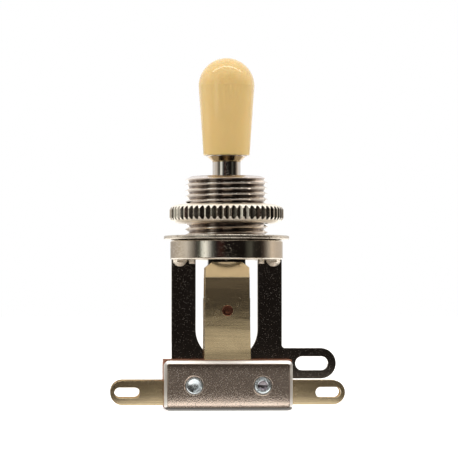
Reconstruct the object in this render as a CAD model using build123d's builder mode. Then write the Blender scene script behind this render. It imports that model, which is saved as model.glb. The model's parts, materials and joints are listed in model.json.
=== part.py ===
from build123d import *
from math import cos, degrees, radians, tan
import os

# Three-way toggle switch of the long-frame kind, all sizes in millimetres.
# +Z runs up along the lever, +X is the viewer's right and the front faces -Y.
# The origin is on the thread's axis at the flange's top face, where the panel seats.

# Lever and its pivot
tilt_deg = 12.0
shaft_r = 2.05
shaft_show = 2.22
collar_r = 2.85
collar_cone = 0.7
collar_rim = 0.5
tip_thread_r = 2.0
tip_thread_length = 7.6
hub_r = 3.0
hub_lift = 0.23
hub_height = 2.8
hub_cone = 1.0
shank_r = 1.5
end_chamfer = 0.3
pin_r = 0.75
pin_half_length = 5.5
pin_chamfer = 0.12

# Running fits and seats
running = 0.03
seat_gap = 0.01
slot_side_gap = 0.2

# Tip
tip_r = 4.06
tip_mouth_r = 3.36
tip_height = 14.17
tip_rim_overlap = 0.4
tip_counterbore_gap = 0.1
tip_edge = 0.12

# Bushing housing, from the hub outwards: the thread comes to 11.9 over its crests
hub_room = 0.5
neck_wall = 2.45
neck_height = 9.28
neck_chamfer_in = 0.8
neck_chamfer_down = 0.45
thread_start = 0.29
thread_pitch = 0.794
thread_depth = 0.54
thread_crest = 0.1
neck_slot_depth = 4.5
flange_width = 2.175
flange_height = 2.73
groove_cover = 0.62
flange_edge = 0.15

# Lips staked from the flange against the faces of the frame's legs
lip_root = 0.6
lip_width = 2.1
lip_side = 0.35
lip_drop = 0.95
lip_lowest = 0.68
lip_thickness = 0.95
lip_taper_deg = 32.0
pad_width = 0.95
pad_drop = 0.62
pad_thickness = 0.45
pad_taper_deg = 30.0
punch_length = 0.9
punch_width = 0.24
punch_drop = 0.25
punch_depth = 0.4

# Knurled nut, its knurl a straight V
nut_overhang = 0.125
nut_base_z = 2.5
nut_crest_height = 1.15
nut_edge_in = 0.17
nut_edge_down = 0.33
nut_shoulder_in = 0.38
nut_shoulder_down = 0.25
nut_slope_in = 0.8
nut_slope_down = 0.22
nut_bore_gap = 0.1
knurl_teeth = 56
knurl_depth = 0.32
knurl_crest = 0.14
knurl_turn_deg = -1.8

# Flat washer, dished a little, resting on the flange's edge
washer_overhang = 0.925
washer_bore_gap = 0.2
washer_thickness = 0.54
washer_dish_deg = 3.2
washer_edge = 0.1

# Frame plate
frame_thickness = 1.2
leg_inset = 0.17
leg_width = 3.47
window_drop = 0.08
ground_lug_reach = 7.82
ground_lug_height = 4.4
ground_lug_drop = 0.5
ground_lug_rim = 1.13
ground_slot_length = 4.74
ground_slot_height = 2.0
frame_fillet = 0.5
frame_foot_gap = 0.2

# Stack of leaves and insulators, from the frame outwards, the same at the front and the rear
stack_top_z = -17.2
stack_height = 7.1
stack_width = 18.3
frame_insulator_thickness = 0.8
inner_leaf_thickness = 0.5
gap_insulator_thickness = 1.6
outer_leaf_thickness = 0.4
cover_insulator_thickness = 0.8
insulator_proud = 0.08
insulator_inset = 0.03
insulator_foot_gap = 0.25
plate_thickness = 2.0
plate_corner = 0.8
plate_edge = 0.6

# Leaves
leaf_base_inset = 0.55
leaf_foot_half = 6.65 / 2
outer_leaf_top_half = 6.3 / 2
hook_drop = 0.37
hook_height = 2.3
hook_lean_deg = 28.0
hook_top_half = 4.35 / 2
hook_chamfer_down = 0.8
bend_y_gap = 0.15
inner_leaf_rise = 2.4
inner_leaf_corner = 0.6
lug_height = 3.5
lug_drop = 1.1
outer_lug_reach = 7.65
inner_lug_reach = 7.85
lug_rim = 0.6
lug_slot_length = 3.65
lug_slot_height = 1.52

# Rivet contacts
contact_drop = 4.7
rivet_r = 0.8
rivet_head_r = 1.2
rivet_head_height = 0.5
rivet_head_edge = 0.12
rivet_tail_height = 0.2
contact_gap = 0.02

# Cam on the lever's shank
cam_half_width = 2.65
cam_neck_half = 1.3
cam_base_half = 1.4
cam_nose_drop = 1.4
cam_nose_height = 0.5
cam_chin_height = 1.0
cam_edge = 0.25
cam_gap = 0.08

# Clamp screws and their insulating sleeves
screw_x = 4.88
screw_r = 1.25
screw_tap_gap = 0.03
screw_clearance = 0.1
screw_end_recess = 0.05
screw_head_r = 2.25
screw_head_height = 1.6
screw_head_edge = 0.45
screw_slot_width = 0.7
screw_slot_depth = 0.8
screw_end_chamfer = 0.18
sleeve_bore_gap = 0.05
sleeve_wall = 0.4
sleeve_hole_gap = 0.05

# Worked out from the sizes above: heights down the axis, from the flange's top face
groove_r = pin_r + running
nut_shoulder_z = nut_base_z + nut_slope_down
nut_edge_z = nut_shoulder_z + nut_shoulder_down
nut_crest_z = nut_edge_z + nut_edge_down
nut_mid_z = nut_crest_z + nut_crest_height / 2
nut_height = 2 * (nut_mid_z - nut_base_z)
pivot_z = -groove_cover - groove_r
leg_top_z = pivot_z - groove_r
hub_base_z = hub_lift - flange_height
outer_leaf_top_z = -flange_height - hook_drop
cam_nose_z = outer_leaf_top_z - cam_nose_drop
cam_base_z = cam_nose_z - cam_nose_height - cam_chin_height
hook_bend_z = outer_leaf_top_z - hook_height
contact_z = hook_bend_z - contact_drop
inner_leaf_top_z = contact_z + inner_leaf_rise
window_base_z = stack_top_z - window_drop
ground_lug_z = stack_top_z - ground_lug_drop
stack_mid_z = stack_top_z - stack_height / 2
stack_base_z = stack_top_z - stack_height
lug_z = stack_mid_z - lug_drop

# Heights up the lever
collar_base_z = neck_height + shaft_show
collar_z = collar_base_z + collar_cone
collar_top_z = collar_z + collar_rim
tip_base_z = collar_top_z - tip_rim_overlap
tip_top_z = tip_base_z + tip_height

# Radii of the turned pieces and reaches to the sides
cavity_r = hub_r + hub_room
thread_r = cavity_r + neck_wall
flange_r = thread_r + flange_width
nut_r = flange_r + nut_overhang
washer_r = flange_r + washer_overhang
washer_bore_r = thread_r + washer_bore_gap
leg_outer_x = flange_r - leg_inset
window_half = leg_outer_x - leg_width
lip_outer_x = leg_outer_x - leg_inset
lip_inner_x = lip_outer_x - lip_width
ground_lug_end_x = leg_outer_x + ground_lug_reach
ground_slot_end_x = ground_lug_end_x - ground_lug_rim
leaf_base_half = stack_width / 2 - leaf_base_inset
outer_lug_end_x = stack_width / 2 + outer_lug_reach
inner_lug_end_x = stack_width / 2 + inner_lug_reach

# Distances of the stack's layers from the frame's middle
frame_face = frame_thickness / 2
inner_leaf_y = frame_face + frame_insulator_thickness
gap_insulator_y = inner_leaf_y + inner_leaf_thickness
outer_leaf_y = gap_insulator_y + gap_insulator_thickness
cover_insulator_y = outer_leaf_y + outer_leaf_thickness
plate_y = cover_insulator_y + cover_insulator_thickness
plate_face_y = plate_y + plate_thickness
contact_plane_y = gap_insulator_y + rivet_head_height
leaf_contact_y = contact_plane_y + rivet_head_height
hook_bend_y = leaf_contact_y + bend_y_gap

# Fits and slopes
hook_slope = tan(radians(hook_lean_deg))
sleeve_bore_r = screw_r + sleeve_bore_gap
sleeve_r = sleeve_bore_r + sleeve_wall
stack_hole_r = sleeve_r + sleeve_hole_gap
lever_swing = (neck_height - pivot_z) * tan(radians(tilt_deg))
lever_slot_half = shaft_r / cos(radians(tilt_deg)) + lever_swing + running
screw_places = [(-screw_x, stack_mid_z), (screw_x, stack_mid_z)]

os.makedirs("parts", exist_ok=True)


def save(shape, label):
    shape.label = label
    export_step(shape, f"parts/{label}.step")


def save_mirrored(shape, label):
    with BuildPart() as rear:
        mirror(shape, about=Plane.XZ)
    save(rear.part, label)


# Turned lever, from its threaded end in the tip down to the shank in the cam
hub_top_z = hub_base_z + hub_height
thread_top_z = collar_top_z + tip_thread_length
with BuildPart() as lever:
    with BuildSketch(Plane.XZ):
        with BuildLine():
            Polyline(
                (0, thread_top_z),
                (tip_thread_r - end_chamfer, thread_top_z),
                (tip_thread_r, thread_top_z - end_chamfer),
                (tip_thread_r, collar_top_z),
                (collar_r, collar_top_z),
                (collar_r, collar_z),
                (shaft_r, collar_base_z),
                (shaft_r, hub_top_z + hub_cone),
                (hub_r, hub_top_z),
                (hub_r, hub_base_z),
                (shank_r, hub_base_z),
                (shank_r, cam_base_z + end_chamfer),
                (shank_r - end_chamfer, cam_base_z),
                (0, cam_base_z),
                close=True,
            )
        make_face()
    revolve(axis=Axis.Z)
    with BuildSketch(Plane.YZ):
        with Locations((0, pivot_z)):
            Circle(pin_r + seat_gap)
    extrude(amount=hub_r + 1, both=True, mode=Mode.SUBTRACT)
save(lever.part, "lever")

# Pivot pin, pressed in the hub and free in the grooves of the flange
with BuildPart() as pivot_pin:
    with BuildSketch(Plane.YZ):
        with Locations((0, pivot_z)):
            Circle(pin_r)
    extrude(amount=pin_half_length, both=True)
    chamfer(pivot_pin.edges().filter_by(GeomType.CIRCLE), pin_chamfer)
save(pivot_pin.part, "pivot_pin")

# Cream tip: a taper under a domed end, hollow for the lever's thread and collar
dome_z = tip_top_z - tip_r
counterbore_r = collar_r + tip_counterbore_gap
with BuildPart() as switch_tip:
    with BuildSketch(Plane.XZ):
        with BuildLine():
            Polyline(
                (0, tip_top_z),
                (0, thread_top_z + seat_gap),
                (tip_thread_r + seat_gap, thread_top_z + seat_gap),
                (tip_thread_r + seat_gap, collar_top_z + seat_gap),
                (counterbore_r, collar_top_z + seat_gap),
                (counterbore_r, tip_base_z),
                (tip_mouth_r, tip_base_z),
                (tip_r, dome_z),
            )
            CenterArc((0, dome_z), tip_r, 0, 90)
        make_face()
    revolve(axis=Axis.Z)
    chamfer(switch_tip.edges().group_by(Axis.Z)[0].sort_by(SortBy.RADIUS)[-1], tip_edge)
save(switch_tip.part, "switch_tip")

# Turned housing: threaded neck, flange ring, oblong slot for the lever, grooves for the pin
# and the tops of the frame's legs, and four lips staked against the legs
thread_points = []
for turn in range(int((neck_height - neck_chamfer_down - thread_start) / thread_pitch)):
    turn_z = thread_start + turn * thread_pitch
    thread_points.append((thread_r, turn_z))
    thread_points.append((thread_r - thread_depth, turn_z + (thread_pitch - thread_crest) / 2))
    thread_points.append((thread_r, turn_z + thread_pitch - thread_crest))
with BuildPart() as bushing_housing:
    with BuildSketch(Plane.XZ):
        with BuildLine():
            Polyline(
                (0, neck_height - neck_slot_depth),
                (cavity_r, neck_height - neck_slot_depth),
                (cavity_r, -flange_height),
                (flange_r - flange_edge, -flange_height),
                (flange_r, -flange_height + flange_edge),
                (flange_r, -flange_edge),
                (flange_r - flange_edge, 0),
                (thread_r, 0),
                *thread_points,
                (thread_r, neck_height - neck_chamfer_down),
                (thread_r - neck_chamfer_in, neck_height),
                (0, neck_height),
                close=True,
            )
        make_face()
    revolve(axis=Axis.Z)
    with BuildSketch(Plane.XY.offset(neck_height)):
        SlotOverall(2 * lever_slot_half, 2 * (shaft_r + slot_side_gap), rotation=90)
    extrude(amount=-neck_slot_depth, mode=Mode.SUBTRACT)
    with BuildSketch(Plane.YZ):
        with Locations((0, pivot_z)):
            Circle(groove_r)
            Rectangle(2 * groove_r, flange_height, align=(Align.CENTER, Align.MAX))
    extrude(amount=flange_r + 1, both=True, mode=Mode.SUBTRACT)
    with BuildSketch(Plane.XZ.offset(frame_face + seat_gap)) as lips:
        with BuildLine():
            Polyline(
                (lip_inner_x, -flange_height),
                (lip_inner_x, lip_root - flange_height),
                (lip_outer_x, lip_root - flange_height),
                (lip_outer_x, -flange_height - lip_side),
            )
            ThreePointArc(
                (lip_outer_x, -flange_height - lip_side),
                (lip_outer_x - lip_lowest, -flange_height - lip_drop),
                (lip_inner_x, -flange_height),
            )
        make_face()
    with BuildSketch(Plane.XZ.offset(frame_face + seat_gap)) as pads:
        with Locations((window_half, lip_root - flange_height)):
            Rectangle(pad_width, lip_root + pad_drop, align=(Align.MIN, Align.MAX))
    lip = extrude(lips.sketch, amount=lip_thickness, taper=lip_taper_deg, mode=Mode.PRIVATE)
    pad = extrude(pads.sketch, amount=pad_thickness, taper=pad_taper_deg, mode=Mode.PRIVATE)
    for stake in (lip, pad):
        add(stake)
        add(mirror(stake, about=Plane.YZ, mode=Mode.PRIVATE))
        add(mirror(stake, about=Plane.XZ, mode=Mode.PRIVATE))
        add(mirror(mirror(stake, about=Plane.XZ, mode=Mode.PRIVATE), about=Plane.YZ, mode=Mode.PRIVATE))
    punch_x = lip_outer_x - lip_width / 2
    with BuildSketch(Plane.XZ.offset(flange_r)):
        with Locations((-punch_x, -flange_height - punch_drop), (punch_x, -flange_height - punch_drop)):
            SlotOverall(punch_length, punch_width)
    punch_reach = flange_r - frame_face - seat_gap - lip_thickness + punch_depth
    extrude(amount=-punch_reach, mode=Mode.SUBTRACT)
save(bushing_housing.part, "bushing_housing")

# Flat washer: slightly cupped, so the edge of its bore rests on the flange and its rim stands off it
rim_rise = (washer_r - washer_bore_r) * tan(radians(washer_dish_deg)) + seat_gap
with BuildPart() as flat_washer:
    with BuildSketch(Plane.XZ):
        with BuildLine():
            Polyline(
                (washer_bore_r, seat_gap),
                (washer_r, rim_rise),
                (washer_r, rim_rise + washer_thickness),
                (washer_bore_r, seat_gap + washer_thickness),
                close=True,
            )
        make_face()
    revolve(axis=Axis.Z)
    chamfer(flat_washer.edges().filter_by(GeomType.CIRCLE), washer_edge)
save(flat_washer.part, "flat_washer")

# Knurled nut: V grooves along the axis between narrow crests, with rounded-off edges above and below
tooth_angle = 360 / knurl_teeth
crest_angle = degrees(knurl_crest / nut_r)
knurl_points = []
for tooth in range(knurl_teeth):
    groove_angle = knurl_turn_deg + tooth * tooth_angle
    crest_start = groove_angle + (tooth_angle - crest_angle) / 2
    knurl_points.append(Vector(nut_r - knurl_depth, 0).rotate(Axis.Z, groove_angle))
    knurl_points.append(Vector(nut_r, 0).rotate(Axis.Z, crest_start))
    knurl_points.append(Vector(nut_r, 0).rotate(Axis.Z, crest_start + crest_angle))
shoulder_r = nut_r - nut_edge_in - nut_shoulder_in
with BuildPart() as knurled_nut:
    with BuildSketch(Plane.XY.offset(nut_base_z)):
        with BuildLine():
            Polyline(*knurl_points, close=True)
        make_face()
        Circle(thread_r + nut_bore_gap, mode=Mode.SUBTRACT)
    extrude(amount=nut_height)
    with BuildSketch(Plane.XZ):
        with BuildLine():
            Polyline(
                (0, nut_base_z),
                (shoulder_r - nut_slope_in, nut_base_z),
                (shoulder_r, nut_shoulder_z),
                (nut_r - nut_edge_in, nut_edge_z),
                (nut_r, nut_crest_z),
                (nut_r, nut_mid_z),
                (0, nut_mid_z),
                close=True,
            )
        make_face()
        mirror(about=Plane.XZ.offset(-nut_mid_z))
    revolve(axis=Axis.Z, mode=Mode.INTERSECT)
save(knurled_nut.part, "knurled_nut")

# Frame plate: two legs round a window, the foot in the stack and the ground lug
frame_base_z = stack_base_z + frame_foot_gap
with BuildPart() as frame:
    with BuildSketch(Plane.XZ.offset(-frame_face)) as frame_outline:
        with Locations((0, leg_top_z)):
            Rectangle(2 * leg_outer_x, leg_top_z - frame_base_z, align=(Align.CENTER, Align.MAX))
        with Locations((0, ground_lug_z)):
            Rectangle(
                ground_lug_end_x - ground_lug_height / 2, ground_lug_height, align=(Align.MIN, Align.CENTER)
            )
        with Locations((ground_lug_end_x - ground_lug_height / 2, ground_lug_z)):
            Circle(ground_lug_height / 2)
        lug_top = (leg_outer_x, ground_lug_z + ground_lug_height / 2)
        fillet(frame_outline.vertices().sort_by_distance(lug_top)[0], frame_fillet)
        with Locations((0, window_base_z + window_half)):
            Circle(window_half, mode=Mode.SUBTRACT)
            Rectangle(
                2 * window_half,
                leg_top_z - window_base_z,
                align=(Align.CENTER, Align.MIN),
                mode=Mode.SUBTRACT,
            )
        with Locations((ground_slot_end_x - ground_slot_length / 2, ground_lug_z)):
            SlotOverall(ground_slot_length, ground_slot_height, mode=Mode.SUBTRACT)
        with Locations(*screw_places):
            Circle(stack_hole_r, mode=Mode.SUBTRACT)
    extrude(amount=frame_thickness)
save(frame.part, "frame")

# Outer leaf: bowed from the stack to its contact and on to the bend, then hooked in over the cam
hook_rise = outer_leaf_thickness * hook_slope * cos(radians(hook_lean_deg))
hook_tip_z = outer_leaf_top_z - hook_rise
hook_tip_y = hook_bend_y - (hook_tip_z - hook_bend_z) * hook_slope
with BuildPart() as outer_leaf_front:
    with BuildSketch(Plane.YZ):
        with BuildLine() as inner_face:
            Line((-outer_leaf_y, stack_base_z), (-outer_leaf_y, stack_top_z))
            ThreePointArc(
                (-outer_leaf_y, stack_top_z), (-leaf_contact_y, contact_z), (-hook_bend_y, hook_bend_z)
            )
            Line((-hook_bend_y, hook_bend_z), (-hook_tip_y, hook_tip_z))
            offset(amount=outer_leaf_thickness, side=Side.LEFT)
        make_face()
    extrude(amount=outer_lug_end_x, both=True)
    with BuildSketch(Plane.XZ):
        with BuildLine():
            Polyline(
                (-leaf_foot_half, stack_top_z),
                (-outer_leaf_top_half, outer_leaf_top_z - hook_chamfer_down),
                (-hook_top_half, outer_leaf_top_z),
                (hook_top_half, outer_leaf_top_z),
                (outer_leaf_top_half, outer_leaf_top_z - hook_chamfer_down),
                (leaf_foot_half, stack_top_z),
                close=True,
            )
        make_face()
        with Locations((0, stack_mid_z)):
            Rectangle(2 * leaf_base_half, stack_height)
        with Locations((0, lug_z)):
            Rectangle(outer_lug_end_x - lug_height / 2, lug_height, align=(Align.MAX, Align.CENTER))
        with Locations((lug_height / 2 - outer_lug_end_x, lug_z)):
            Circle(lug_height / 2)
        with Locations((lug_rim + lug_slot_length / 2 - outer_lug_end_x, lug_z)):
            SlotOverall(lug_slot_length, lug_slot_height, mode=Mode.SUBTRACT)
        with Locations(*screw_places):
            Circle(stack_hole_r, mode=Mode.SUBTRACT)
        with Locations((0, contact_z)):
            Circle(rivet_r + seat_gap, mode=Mode.SUBTRACT)
    extrude(amount=plate_face_y, mode=Mode.INTERSECT)
save(outer_leaf_front.part, "outer_leaf_front")
save_mirrored(outer_leaf_front.part, "outer_leaf_rear")

# Inner leaf: straight, with its lug on the other side
with BuildPart() as inner_leaf_front:
    with BuildSketch(Plane.XZ.offset(inner_leaf_y)) as inner_outline:
        with Locations((0, inner_leaf_top_z)):
            Rectangle(2 * leaf_foot_half, inner_leaf_top_z - stack_mid_z, align=(Align.CENTER, Align.MAX))
        chamfer(inner_outline.vertices().group_by(Axis.Y)[-1], inner_leaf_corner)
        with Locations((0, stack_mid_z)):
            Rectangle(2 * leaf_base_half, stack_height)
        with Locations((0, lug_z)):
            Rectangle(inner_lug_end_x - lug_height / 2, lug_height, align=(Align.MIN, Align.CENTER))
        with Locations((inner_lug_end_x - lug_height / 2, lug_z)):
            Circle(lug_height / 2)
        with Locations((inner_lug_end_x - lug_rim - lug_slot_length / 2, lug_z)):
            SlotOverall(lug_slot_length, lug_slot_height, mode=Mode.SUBTRACT)
        with Locations(*screw_places):
            Circle(stack_hole_r, mode=Mode.SUBTRACT)
        with Locations((0, contact_z)):
            Circle(rivet_r + seat_gap, mode=Mode.SUBTRACT)
    extrude(amount=inner_leaf_thickness)
save(inner_leaf_front.part, "inner_leaf_front")
save_mirrored(inner_leaf_front.part, "inner_leaf_rear")

# Rivet contacts: a flat head on the side of the other leaf, and a shank through its own
with BuildPart() as outer_contact_front:
    with BuildSketch(Plane.XZ.offset(contact_plane_y + contact_gap / 2)):
        with Locations((0, contact_z)):
            Circle(rivet_head_r)
    extrude(amount=rivet_head_height - contact_gap)
    chamfer(outer_contact_front.edges().sort_by(Axis.Y)[-1], rivet_head_edge)
    with BuildSketch(Plane.XZ.offset(contact_plane_y + rivet_head_height / 2)):
        with Locations((0, contact_z)):
            Circle(rivet_r)
    extrude(amount=outer_leaf_thickness + rivet_head_height / 2)
save(outer_contact_front.part, "outer_contact_front")
save_mirrored(outer_contact_front.part, "outer_contact_rear")

with BuildPart() as inner_contact_front:
    with BuildSketch(Plane.XZ.offset(gap_insulator_y)):
        with Locations((0, contact_z)):
            Circle(rivet_head_r)
    extrude(amount=rivet_head_height - contact_gap / 2)
    chamfer(inner_contact_front.edges().sort_by(Axis.Y)[0], rivet_head_edge)
    with BuildSketch(Plane.XZ.offset(gap_insulator_y)):
        with Locations((0, contact_z)):
            Circle(rivet_r)
    extrude(amount=-inner_leaf_thickness - rivet_tail_height)
save(inner_contact_front.part, "inner_contact_front")
save_mirrored(inner_contact_front.part, "inner_contact_rear")

# Cam: its flanks follow the hooks' inner faces, and its nose pushes the leaves outwards
flank_gap = cam_gap / cos(radians(hook_lean_deg))
flank_top_z = hook_tip_z
flank_top_y = hook_tip_y - flank_gap
cam_nose_y = flank_top_y + (flank_top_z - cam_nose_z) * hook_slope
with BuildPart() as actuator_cam:
    with BuildSketch(Plane.YZ):
        with BuildLine():
            Polyline(
                (0, hub_base_z - seat_gap),
                (cam_neck_half, hub_base_z - seat_gap),
                (flank_top_y, flank_top_z),
                (cam_nose_y, cam_nose_z),
                (cam_nose_y, cam_nose_z - cam_nose_height),
                (cam_base_half, cam_base_z),
                (0, cam_base_z),
            )
            mirror(about=Plane.YZ)
        make_face()
    extrude(amount=cam_half_width, both=True)
    fillet(actuator_cam.edges().filter_by(Axis.X).filter_by(lambda e: e.center().Z < flank_top_z), cam_edge)
    with BuildSketch(Plane.XY.offset(cam_base_z)):
        Circle(shank_r + seat_gap)
    extrude(amount=hub_base_z - cam_base_z, mode=Mode.SUBTRACT)
save(actuator_cam.part, "actuator_cam")

# Fibre insulators, a little proud of the plates at the sides and the top
insulators = {
    "frame_insulator": (frame_face, frame_insulator_thickness),
    "gap_insulator": (gap_insulator_y, gap_insulator_thickness),
    "cover_insulator": (cover_insulator_y, cover_insulator_thickness),
}
for name, (start_y, thickness) in insulators.items():
    with BuildPart() as insulator:
        with BuildSketch(Plane.XZ.offset(start_y)):
            with Locations((0, stack_top_z + insulator_proud)):
                Rectangle(
                    stack_width - 2 * insulator_inset,
                    insulator_proud + stack_height - insulator_foot_gap,
                    align=(Align.CENTER, Align.MAX),
                )
            with Locations(*screw_places):
                Circle(stack_hole_r, mode=Mode.SUBTRACT)
        extrude(amount=thickness)
    save(insulator.part, f"{name}_front")
    save_mirrored(insulator.part, f"{name}_rear")

# Clamp plates with a rounded front edge: the front one is tapped, the rear one carries the heads
for name, hole_r in (("front", screw_r + screw_tap_gap), ("rear", screw_r + screw_clearance)):
    with BuildPart() as clamp_plate:
        with BuildSketch(Plane.XZ.offset(plate_y)):
            with Locations((0, stack_mid_z)):
                RectangleRounded(stack_width, stack_height, plate_corner)
            with Locations(*screw_places):
                Circle(hole_r, mode=Mode.SUBTRACT)
        extrude(amount=plate_thickness)
        rim = clamp_plate.faces().sort_by(Axis.Y)[0].outer_wire()
        chamfer(rim.edges(), plate_edge)
    if name == "front":
        save(clamp_plate.part, "clamp_plate_front")
    else:
        save_mirrored(clamp_plate.part, "clamp_plate_rear")

# Clamp screws with slotted heads at the rear, and the sleeves that insulate them
for name, x in (("left", -screw_x), ("right", screw_x)):
    with BuildPart() as clamp_screw:
        with BuildSketch(Plane.XZ.offset(-plate_face_y)):
            with Locations((x, stack_mid_z)):
                Circle(screw_head_r)
        extrude(amount=-screw_head_height)
        chamfer(clamp_screw.edges().sort_by(Axis.Y)[-1], screw_head_edge)
        with BuildSketch(Plane.XZ.offset(-plate_face_y)):
            with Locations((x, stack_mid_z)):
                Circle(screw_r)
        extrude(amount=2 * plate_face_y - screw_end_recess)
        chamfer(clamp_screw.edges().sort_by(Axis.Y)[0], screw_end_chamfer)
        with BuildSketch(Plane.XZ.offset(-plate_face_y - screw_head_height)):
            with Locations((x, stack_mid_z)):
                Rectangle(2 * screw_head_r + 1, screw_slot_width)
        extrude(amount=screw_slot_depth, mode=Mode.SUBTRACT)
    save(clamp_screw.part, f"clamp_screw_{name}")

    with BuildPart() as insulating_sleeve:
        with BuildSketch(Plane.XZ.offset(-plate_y)):
            with Locations((x, stack_mid_z)):
                Circle(sleeve_r)
                Circle(sleeve_bore_r, mode=Mode.SUBTRACT)
        extrude(amount=2 * plate_y)
    save(insulating_sleeve.part, f"insulating_sleeve_{name}")
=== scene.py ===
import json
import math

import bpy
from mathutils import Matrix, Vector

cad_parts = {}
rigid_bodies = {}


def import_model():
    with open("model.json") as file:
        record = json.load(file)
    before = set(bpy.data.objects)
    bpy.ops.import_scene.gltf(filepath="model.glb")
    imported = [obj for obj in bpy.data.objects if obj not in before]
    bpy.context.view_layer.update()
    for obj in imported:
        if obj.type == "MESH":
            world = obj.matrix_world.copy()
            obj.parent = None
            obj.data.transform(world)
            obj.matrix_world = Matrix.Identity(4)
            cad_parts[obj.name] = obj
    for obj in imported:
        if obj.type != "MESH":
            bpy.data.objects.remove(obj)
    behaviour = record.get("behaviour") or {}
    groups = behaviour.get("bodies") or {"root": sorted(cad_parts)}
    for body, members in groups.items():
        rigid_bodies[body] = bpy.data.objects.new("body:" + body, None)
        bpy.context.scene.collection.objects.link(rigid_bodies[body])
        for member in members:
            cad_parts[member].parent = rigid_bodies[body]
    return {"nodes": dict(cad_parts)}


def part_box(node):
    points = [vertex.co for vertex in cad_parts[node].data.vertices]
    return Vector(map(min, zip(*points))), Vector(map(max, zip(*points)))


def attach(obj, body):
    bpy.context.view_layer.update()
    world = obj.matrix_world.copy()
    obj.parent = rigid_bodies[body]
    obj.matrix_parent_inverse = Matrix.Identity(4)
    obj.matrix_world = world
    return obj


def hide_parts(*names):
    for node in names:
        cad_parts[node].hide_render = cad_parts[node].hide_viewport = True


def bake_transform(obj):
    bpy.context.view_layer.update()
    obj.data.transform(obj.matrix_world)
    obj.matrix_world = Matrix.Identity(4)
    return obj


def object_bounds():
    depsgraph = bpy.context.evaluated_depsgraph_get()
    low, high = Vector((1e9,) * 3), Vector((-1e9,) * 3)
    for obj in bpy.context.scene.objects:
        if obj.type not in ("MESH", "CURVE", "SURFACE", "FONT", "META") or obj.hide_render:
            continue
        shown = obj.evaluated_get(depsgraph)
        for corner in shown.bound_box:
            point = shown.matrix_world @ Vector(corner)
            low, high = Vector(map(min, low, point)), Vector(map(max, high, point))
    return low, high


for starting_object in list(bpy.data.objects):
    bpy.data.objects.remove(starting_object)

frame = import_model()
nodes = frame["nodes"]
cad_box = [list(corner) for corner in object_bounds()]

MM = 0.001
TOLERANCE = 0.001 * MM
MATERIALS = {}


# Helpers for modelling by hand

def deselect():
    bpy.ops.object.select_all(action="DESELECT")


def pick(piece):
    deselect()
    piece.select_set(True)
    bpy.context.view_layer.objects.active = piece


def edit(piece):
    pick(piece)
    bpy.ops.object.mode_set(mode="EDIT")
    bpy.ops.mesh.select_mode(type="VERT")


def leave_edit():
    bpy.ops.object.mode_set(mode="OBJECT")


def name_piece(piece, name):
    piece.name = name
    piece.data.name = name


def pick_vertices(piece, wanted):
    """Selects the vertices of the piece being edited that pass the test, in millimetres."""
    bpy.ops.mesh.select_all(action="DESELECT")
    leave_edit()
    for vertex in piece.data.vertices:
        vertex.select = wanted(vertex.co / MM)
    bpy.ops.object.mode_set(mode="EDIT")


def smooth(piece, degrees=35):
    pick(piece)
    bpy.ops.object.shade_smooth_by_angle(angle=math.radians(degrees))


def apply_modifier(piece, modifier):
    pick(piece)
    bpy.ops.object.modifier_apply(modifier=modifier.name)


def cut_with(piece, tool, operation="DIFFERENCE"):
    """Cuts the piece with a tool that is thrown away afterwards."""
    modifier = piece.modifiers.new("cut", "BOOLEAN")
    modifier.operation = operation
    modifier.solver = "EXACT"
    modifier.object = tool
    apply_modifier(piece, modifier)
    bpy.data.objects.remove(tool)


def cut_across(height, **settings):
    """Bisects the whole of the piece being edited at a height, in millimetres."""
    bpy.ops.mesh.select_all(action="SELECT")
    bpy.ops.mesh.bisect(plane_co=(0, 0, height * MM), plane_no=(0, 0, 1), threshold=TOLERANCE, **settings)


def add_block(centre, size, turn=(0, 0, 0)):
    """A block to shape or to cut with; centre and size are in millimetres, turn in degrees."""
    deselect()
    bpy.ops.mesh.primitive_cube_add(size=MM, location=Vector(centre) * MM)
    block = bpy.context.object
    block.scale = size
    block.rotation_euler = [math.radians(angle) for angle in turn]
    bpy.ops.object.transform_apply(location=True, rotation=True, scale=True)
    return block


def draw_outline(name, points):
    """A chain of vertices through the points, drawn by extruding one vertex."""
    deselect()
    bpy.ops.mesh.primitive_plane_add(size=MM, location=points[0] * MM)
    piece = bpy.context.object
    name_piece(piece, name)
    bpy.ops.object.transform_apply(location=True, rotation=True, scale=True)
    edit(piece)
    bpy.ops.mesh.select_all(action="SELECT")
    bpy.ops.mesh.merge(type="CENTER")
    for here, there in zip(points, points[1:]):
        bpy.ops.mesh.extrude_region_move(TRANSFORM_OT_translate={"value": (there - here) * MM})
    return piece


def turned(name, outline, steps=96, centre=(0, 0, 0), axis="Z", degrees=35):
    """A turned piece: the outline is a list of radius and height, in millimetres, spun about the axis."""
    centre = Vector(centre)
    along = Vector((0, 0, 1)) if axis == "Z" else Vector((0, 1, 0))
    side = Vector((1, 0, 0))
    points = [centre + side * radius + along * height for radius, height in outline]
    piece = draw_outline(name, points)
    bpy.ops.mesh.select_all(action="SELECT")
    bpy.ops.mesh.spin(steps=steps, angle=2 * math.pi, center=centre * MM, axis=along)
    bpy.ops.mesh.select_all(action="SELECT")
    bpy.ops.mesh.remove_doubles(threshold=0.0005 * MM)
    bpy.ops.mesh.normals_make_consistent(inside=False)
    leave_edit()
    smooth(piece, degrees)
    return piece


def copy_of_node(name, node):
    """A merged copy of a CAD node, as the start of a piece."""
    source = nodes[node]
    piece = source.copy()
    piece.data = source.data.copy()
    name_piece(piece, name)
    bpy.context.scene.collection.objects.link(piece)
    piece.parent = None
    edit(piece)
    bpy.ops.mesh.customdata_custom_splitnormals_clear()
    bpy.ops.mesh.select_all(action="SELECT")
    bpy.ops.mesh.remove_doubles(threshold=TOLERANCE)
    leave_edit()
    return piece


# Helpers for node trees

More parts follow.
